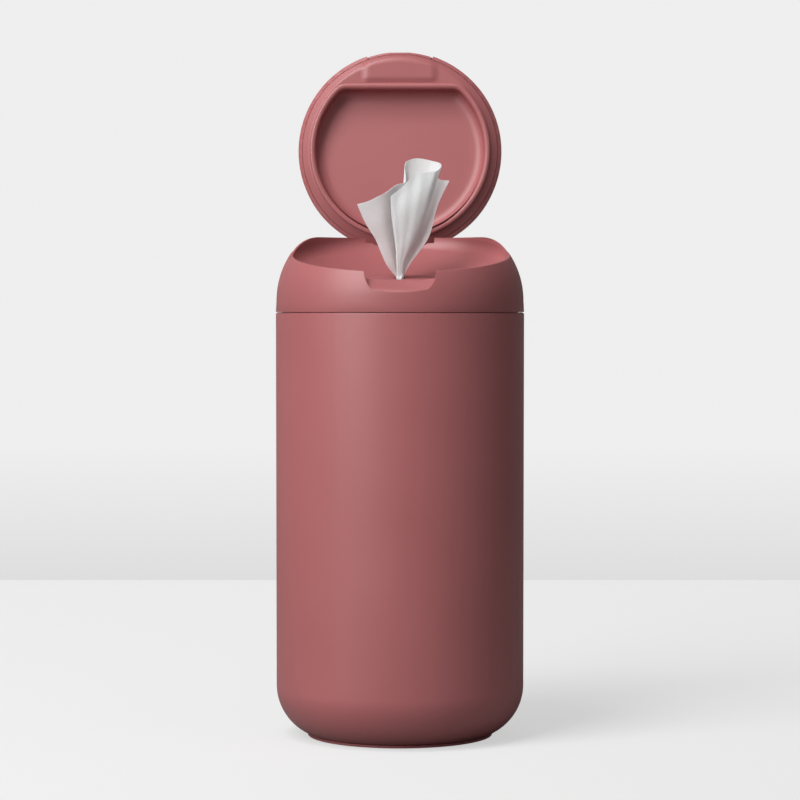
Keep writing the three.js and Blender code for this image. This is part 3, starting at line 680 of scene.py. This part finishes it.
join_shape(lid_arm, "INTERSECT", turned("arm_dome", dome_section(0, seam_z), 256))
join_shape(lid_arm, "UNION", rod_along_x(3 * mm, arm_half))
join_shape(lid_shell, "UNION", lid_arm)
join_shape(lid_shell, "DIFFERENCE", rod_along_x(1.55 * mm, slot_width / 2, 48))
swing_open(lid_shell)
soften_edges(lid_shell, 0.3 * mm)
shade_smooth(lid_shell)
finish_piece(lid_shell, rose_plastic, "lid", "rose_plastic", "lid_shell")

# Lid liner: the inside panel, snapped into the shell. A rounded D-shaped bead runs round a recess
# that gives the wipe room; outside it the panel slopes to the shell, with a flat latch pad in front.
liner_r = lid_r - lid_wall - 0.15 * mm
bead_r = 38.6 * mm
bead_flat = 28.4 * mm
bead_corner = 6.5 * mm
bead_half = 1.5 * mm
bead_top = -3.6 * mm
recess_depth = 2.2 * mm
recess_lean = lid_tilt - math.radians(5)
recess_round = 3.6 * mm
recess_round_width = 4.5 * mm
pad_half = 15.5 * mm


def d_outline(offset, arc_steps=150, corner_steps=16, flat_steps=60):
    """The bead's D, offset outward: a round with a straight front and rounded corners."""
    radius, flat, corner = bead_r + offset, bead_flat + offset, bead_corner + offset
    corner_y = -flat + corner
    corner_x = math.sqrt((radius - corner) ** 2 - corner_y ** 2)
    join = math.atan2(corner_y, corner_x)
    points = arc(0, 0, radius, join, math.pi - join, arc_steps)
    points += arc(-corner_x, corner_y, corner, math.pi - join, 1.5 * math.pi, corner_steps)[1:]
    for i in range(1, flat_steps):
        points.append((-corner_x + 2 * corner_x * i / flat_steps, -flat))
    points += arc(corner_x, corner_y, corner, 1.5 * math.pi, 2 * math.pi + join, corner_steps)[:-1]
    return points


def smooth_step(value, low, high):
    t = max(0.0, min(1.0, (value - low) / (high - low)))
    return t * t * (3 - 2 * t)


def liner_rings():
    """Rings of points from the middle of the recess out to the shell, in the lid's frame."""
    rings = []
    foot = d_outline(-bead_half - recess_round_width)
    for share in (0.25, 0.5, 0.75, 0.92):
        rings.append([(x * share, y * share, recess_depth - y * share * math.tan(recess_lean))
                      for x, y in foot])
    for i in range(9):
        angle = math.pi / 2 * i / 8
        ring = []
        for x, y in d_outline(-bead_half - recess_round_width * (1 - math.sin(angle))):
            floor = recess_depth - y * math.tan(recess_lean)
            ring.append((x, y, floor - recess_round * (1 - math.cos(angle))))
        rings.append(ring)
    rings.append([(x, y, bead_top + 2.4 * mm) for x, y in d_outline(-bead_half)])
    for i in range(13):
        angle = math.pi - math.pi * 0.75 * i / 12
        out = bead_half * math.cos(angle)
        level = bead_top + bead_half * (1 - math.sin(angle))
        rings.append([(x, y, level) for x, y in d_outline(out)])
    foot_out = bead_half * math.cos(math.pi * 0.25)
    outer = d_outline(foot_out)
    for i in range(1, 15):
        t = (i / 14) ** 1.15
        ring = []
        for x, y in outer:
            reach = math.hypot(x, y)
            edge = liner_r / reach
            px, py = x + (x * edge - x) * t, y + (y * edge - y) * t
            away = math.hypot(px - x, py - y)
            level = max(panel_level, edge_rise - edge_pitch * (lid_r - math.hypot(px, py)))
            in_front = smooth_step(-py, bead_flat + 1.5 * mm, bead_flat + 4 * mm)
            on_pad = 1 - smooth_step(abs(px), pad_half - 1.8 * mm, pad_half + 1.8 * mm)
            off_edge = smooth_step(liner_r - math.hypot(px, py), 0.2 * mm, 1.2 * mm)
            level -= 0.8 * mm * in_front * on_pad * off_edge
            ring.append((px, py, level))
        rings.append(ring)
    for out, down in ((0.03, 0.3), (0.13, 0.34)):
        rings.append([(x * (1 + out * mm / liner_r), y * (1 + out * mm / liner_r), z + down * mm)
                      for x, y, z in rings[-1]])
    return rings


def lofted(name, rings, middle):
    """A surface through closed rings, capped by a fan to a middle point."""
    shape = bmesh.new()
    rows = [[shape.verts.new(point) for point in ring] for ring in rings]
    centre = shape.verts.new(middle)
    count = len(rows[0])
    for i in range(count):
        j = (i + 1) % count
        shape.faces.new((centre, rows[0][j], rows[0][i]))
        for inner, outer in zip(rows, rows[1:]):
            shape.faces.new((inner[i], inner[j], outer[j], outer[i]))
    bmesh.ops.recalc_face_normals(shape, faces=shape.faces)
    mesh = bpy.data.meshes.new(name)
    shape.to_mesh(mesh)
    shape.free()
    return add_piece(name, mesh)


lid_liner = lofted("lid_liner_panel", liner_rings(), (0, 0, recess_depth))
in_lid_frame(lid_liner)
swing_open(lid_liner)
shade_smooth(lid_liner, 50)
finish_piece(lid_liner, rose_plastic, "lid", "rose_plastic", "lid_liner")

# Leading wipe: the end of the cloth drawn up through the nozzle. It fans out in soft folds from the
# gather in the hole, its middle rolls over at the top, and its strand hangs down into the roll.
nozzle_centre = lid_centre + Vector((
    0,
    (nozzle_drop - nozzle_crown) * math.sin(lid_tilt),
    -(nozzle_drop - nozzle_crown) * math.cos(lid_tilt),
))
# Folds from left to right, each as x, y, z in millimetres above the nozzle, from the gather to the edge.
# The back layer carries both tips and the high cuff; the front layer wraps round before it.
back_folds = [
    [(-5.9, -1.4, 6.2), (-10.2, -2.6, 16.1), (-14.6, -3.6, 23.4), (-18.0, -4.2, 31.1)],
    [(-4.6, -1.7, 7.0), (-8.4, -3.2, 17.0), (-11.4, -4.4, 26.0), (-13.3, -5.0, 32.4)],
    [(-3.0, -1.5, 7.0), (-5.6, -3.0, 17.5), (-7.6, -4.4, 27.0), (-9.2, -5.1, 34.4)],
    [(-1.8, -0.6, 7.0), (-3.2, -1.6, 17.5), (-4.8, -3.0, 28.0), (-5.7, -4.2, 36.2)],
    [(-1.0, 0.2, 7.0), (-1.6, 0.2, 18.0), (-1.6, -0.4, 29.0), (-1.4, -1.6, 39.4)],
    [(-0.5, 0.5, 7.0), (-0.6, 1.0, 18.0), (0.4, 1.2, 30.0), (2.35, 0.2, 40.9)],
    [(-0.2, 0.5, 7.0), (0.0, 1.2, 18.0), (1.0, 1.8, 31.0), (2.2, 1.3, 48.2)],
    [(0.1, 0.5, 7.0), (0.8, 1.4, 18.0), (2.4, 2.3, 31.0), (4.6, 2.6, 50.2)],
    [(0.5, 0.5, 7.0), (1.8, 1.4, 18.0), (4.4, 2.6, 31.0), (8.0, 3.1, 50.7)],
    [(1.0, 0.5, 7.0), (3.4, 1.2, 18.0), (7.2, 2.3, 31.0), (13.0, 2.3, 49.7)],
    [(1.7, 0.4, 7.0), (5.0, 0.8, 18.0), (10.0, 1.0, 31.0), (17.4, -0.4, 47.8)],
    [(2.4, 0.4, 7.0), (7.0, 0.6, 18.0), (12.2, 0.6, 31.0), (16.1, -0.3, 42.2)],
    [(4.6, 0.0, 6.6), (12.1, 0.0, 17.4), (16.0, -0.4, 31.0), (20.8, -0.9, 41.1)],
]
front_folds = [
    [(-1.5, -1.9, 6.4), (-2.0, -3.5, 14.0), (-3.6, -5.4, 27.0), (-3.9, -6.0, 34.4)],
    [(-1.2, -2.1, 6.6), (-1.2, -3.9, 15.0), (-1.6, -5.7, 28.0), (-0.2, -6.1, 37.2)],
    [(-0.6, -2.3, 6.8), (0.0, -4.2, 16.0), (1.2, -6.0, 29.0), (3.8, -6.1, 41.0)],
    [(0.2, -2.3, 6.9), (1.8, -4.2, 16.5), (4.3, -6.1, 30.0), (7.2, -5.8, 43.4)],
    [(0.9, -2.2, 6.8), (3.8, -4.0, 16.5), (7.4, -5.9, 30.5), (11.2, -5.3, 44.4)],
    [(1.5, -1.9, 6.6), (5.6, -3.5, 16.5), (10.2, -5.1, 30.5), (15.0, -4.3, 45.0)],
    [(2.0, -1.3, 6.4), (6.9, -2.3, 16.5), (12.1, -3.4, 30.5), (17.3, -1.4, 46.9)],
]


def along(points, t):
    """A point on the smooth curve through a list of points, t from 0 to 1."""
    spans = len(points) - 1
    i = min(int(t * spans), spans - 1)
    u = t * spans - i
    p1, p2 = points[i], points[i + 1]
    p0 = points[i - 1] if i > 0 else p1 * 2 - p2
    p3 = points[i + 2] if i + 2 <= spans else p2 * 2 - p1
    return 0.5 * (2 * p1 + (p2 - p0) * u + (2 * p0 - 5 * p1 + 4 * p2 - p3) * u ** 2
                  + (3 * p1 - p0 - 3 * p2 + p3) * u ** 3)


def wipe_point(folds, across, up):
    """A point of one layer of the fan: across from left to right, up from the gather to the edge."""
    root = Vector(((2 * across - 1) * 1.3, 0.35 if folds is back_folds else -0.35, 0.3))
    columns = [along([root, *(Vector(p) for p in fold)], up) for fold in folds]
    point = along(columns, across)
    point.y += 0.22 * up * math.sin(up * 11 + across * 8) * math.sin(across * 14 - up * 5)
    return point


back_steps, front_steps, up_steps = 168, 96, 64


def add_layer(shape, folds, across_steps, up_steps):
    """Add one layer of the fan to the cloth's mesh, as a grid."""
    rows = []
    for j in range(up_steps + 1):
        rows.append([shape.verts.new(nozzle_centre + wipe_point(folds, i / across_steps, j / up_steps) * mm)
                     for i in range(across_steps + 1)])
    for low_row, high_row in zip(rows, rows[1:]):
        for i in range(across_steps):
            shape.faces.new((low_row[i], low_row[i + 1], high_row[i + 1], high_row[i]))


wipe_shape = bmesh.new()
add_layer(wipe_shape, back_folds, back_steps, up_steps)
add_layer(wipe_shape, front_folds, front_steps, up_steps)
wipe_mesh = bpy.data.meshes.new("leading_wipe_cloth")
wipe_shape.to_mesh(wipe_mesh)
wipe_shape.free()
leading_wipe = add_piece("leading_wipe_cloth", wipe_mesh)
wipe_skin = leading_wipe.modifiers.new("thickness", "SOLIDIFY")
wipe_skin.thickness = 0.3 * mm
wipe_skin.offset = 0
settle(leading_wipe)
shade_smooth(leading_wipe, 70)
finish_piece(leading_wipe, wipe_cloth, "closure", "wipe_cloth", "leading_wipe")
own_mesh(leading_wipe)

# Strand: the same cloth gathered into a loose twist, from the nozzle down into the middle of the roll.
strand_route = [Vector(p) * mm + nozzle_centre for p in ((0, 0, 1), (0, 0, -4), (1, 1.5, -18), (6, 2, -36))]
strand_r = 1.5 * mm
strand_shape = bmesh.new()
strand_rows = []
for j in range(49):
    middle = along(strand_route, j / 48)
    row = []
    for i in range(40):
        turn = 2 * math.pi * i / 40
        swell = 1 + 0.16 * math.sin(5 * turn + j * 0.35) + 0.07 * math.sin(9 * turn - j * 0.5)
        row.append(strand_shape.verts.new(
            middle + Vector((math.cos(turn), math.sin(turn), 0)) * strand_r * swell))
    strand_rows.append(row)
for upper, lower in zip(strand_rows, strand_rows[1:]):
    for i in range(40):
        k = (i + 1) % 40
        strand_shape.faces.new((upper[i], upper[k], lower[k], lower[i]))
strand_shape.faces.new(strand_rows[0])
strand_shape.faces.new(reversed(strand_rows[-1]))
bmesh.ops.recalc_face_normals(strand_shape, faces=strand_shape.faces)
strand_mesh = bpy.data.meshes.new("wipe_strand")
strand_shape.to_mesh(strand_mesh)
strand_shape.free()
wipe_strand = add_piece("wipe_strand", strand_mesh)
shade_smooth(wipe_strand, 70)
finish_piece(wipe_strand, wipe_cloth, "closure", "wipe_cloth")


# Both layers are one fan of cloth, so its width is that of their two upper edges together. Points along both
# upper edges and up the tallest fold are gathered here; nothing uses them.
back_edge = [wipe_point(back_folds, i / back_steps, 1) for i in range(back_steps + 1)]
front_edge = [wipe_point(front_folds, i / front_steps, 1) for i in range(front_steps + 1)]
tallest_fold = [wipe_point(back_folds, 8 / 12, j / up_steps) for j in range(up_steps + 1)]

# Studio: a pale sheet of floor and a pale wall behind it, and a large soft light from the left front.
# Both give off a little light of their own, as paper lit by lamps of its own does.
def studio_paper(name, glow, near_glow, far_glow, near_y, far_y):
    """Pale paper whose own light changes from near to far along Y; it isn't seen from behind."""
    material = bpy.data.materials.new(name)
    material.use_nodes = True
    nodes, links = material.node_tree.nodes, material.node_tree.links
    paper = nodes["Principled BSDF"]
    paper.inputs["Base Color"].default_value = (glow, glow, glow, 1)
    paper.inputs["Roughness"].default_value = 0.95
    paper.inputs["Specular IOR Level"].default_value = 0.0
    paper.inputs["Emission Color"].default_value = (1, 1, 1, 1)
    place = nodes.new("ShaderNodeTexCoord")
    split = nodes.new("ShaderNodeSeparateXYZ")
    grade = nodes.new("ShaderNodeMapRange")
    grade.inputs["From Min"].default_value = near_y
    grade.inputs["From Max"].default_value = far_y
    grade.inputs["To Min"].default_value = near_glow
    grade.inputs["To Max"].default_value = far_glow
    links.new(place.outputs["Object"], split.inputs["Vector"])
    links.new(split.outputs["Y"], grade.inputs["Value"])
    links.new(grade.outputs["Result"], paper.inputs["Emission Strength"])
    dark = nodes.new("ShaderNodeBsdfDiffuse")
    dark.inputs["Color"].default_value = (0.26, 0.26, 0.26, 1)
    path = nodes.new("ShaderNodeLightPath")
    seen = nodes.new("ShaderNodeMixShader")
    links.new(path.outputs["Is Camera Ray"], seen.inputs["Fac"])
    links.new(dark.outputs["BSDF"], seen.inputs[1])
    links.new(paper.outputs["BSDF"], seen.inputs[2])
    hidden = nodes.new("ShaderNodeBsdfTransparent")
    back = nodes.new("ShaderNodeNewGeometry")
    show = nodes.new("ShaderNodeMixShader")
    links.new(back.outputs["Backfacing"], show.inputs["Fac"])
    links.new(seen.outputs["Shader"], show.inputs[1])
    links.new(hidden.outputs["BSDF"], show.inputs[2])
    links.new(show.outputs["Shader"], nodes["Material Output"].inputs["Surface"])
    return material


wall_y = 0.653
floor = add_piece("floor", bpy.data.meshes.new("floor"))
floor.data.from_pydata([(-6, -6, 0), (6, -6, 0), (6, wall_y, 0), (-6, wall_y, 0)], [], [(0, 1, 2, 3)])
floor.data.materials.append(studio_paper("floor_paper", 0.24, 0.52, 0.64, -0.3, 0.6))
wall = add_piece("wall", bpy.data.meshes.new("wall"))
wall.data.from_pydata([(-6, 0, 0), (6, 0, 0), (6, 4, 0), (-6, 4, 0)], [], [(0, 1, 2, 3)])
wall.rotation_euler = (math.pi / 2, 0, 0)
wall.location = (0, wall_y, 0)
wall.data.materials.append(studio_paper("wall_paper", 0.0, 0.73, 0.86, 0.0, 0.09))

world = bpy.data.worlds.new("studio")
bpy.context.scene.world = world
world.use_nodes = True
world.node_tree.nodes["Background"].inputs["Color"].default_value = (1, 1, 1, 1)
world.node_tree.nodes["Background"].inputs["Strength"].default_value = 0.35


def soft_light(name, azimuth, elevation, distance, width, height, power):
    """A rectangular light that faces the dispenser, placed by its direction from it in degrees."""
    data = bpy.data.lights.new(name, "AREA")
    data.shape = "RECTANGLE"
    data.size = width
    data.size_y = height
    data.energy = power
    light = bpy.data.objects.new(name, data)
    turn, rise = math.radians(azimuth), math.radians(elevation)
    aim = Vector((0, 0, 0.13))
    away = Vector((math.sin(turn) * math.cos(rise), -math.cos(turn) * math.cos(rise), math.sin(rise)))
    light.location = aim + away * distance
    light.rotation_euler = away.to_track_quat("Z", "Y").to_euler()
    bpy.context.scene.collection.objects.link(light)
    return light


soft_light("strip", -44, 34, 1.4, 0.8, 1.2, 23.5)
soft_light("top", -40, 68, 1.4, 0.4, 0.4, 8)
bpy.context.scene.view_settings.view_transform = "Standard"
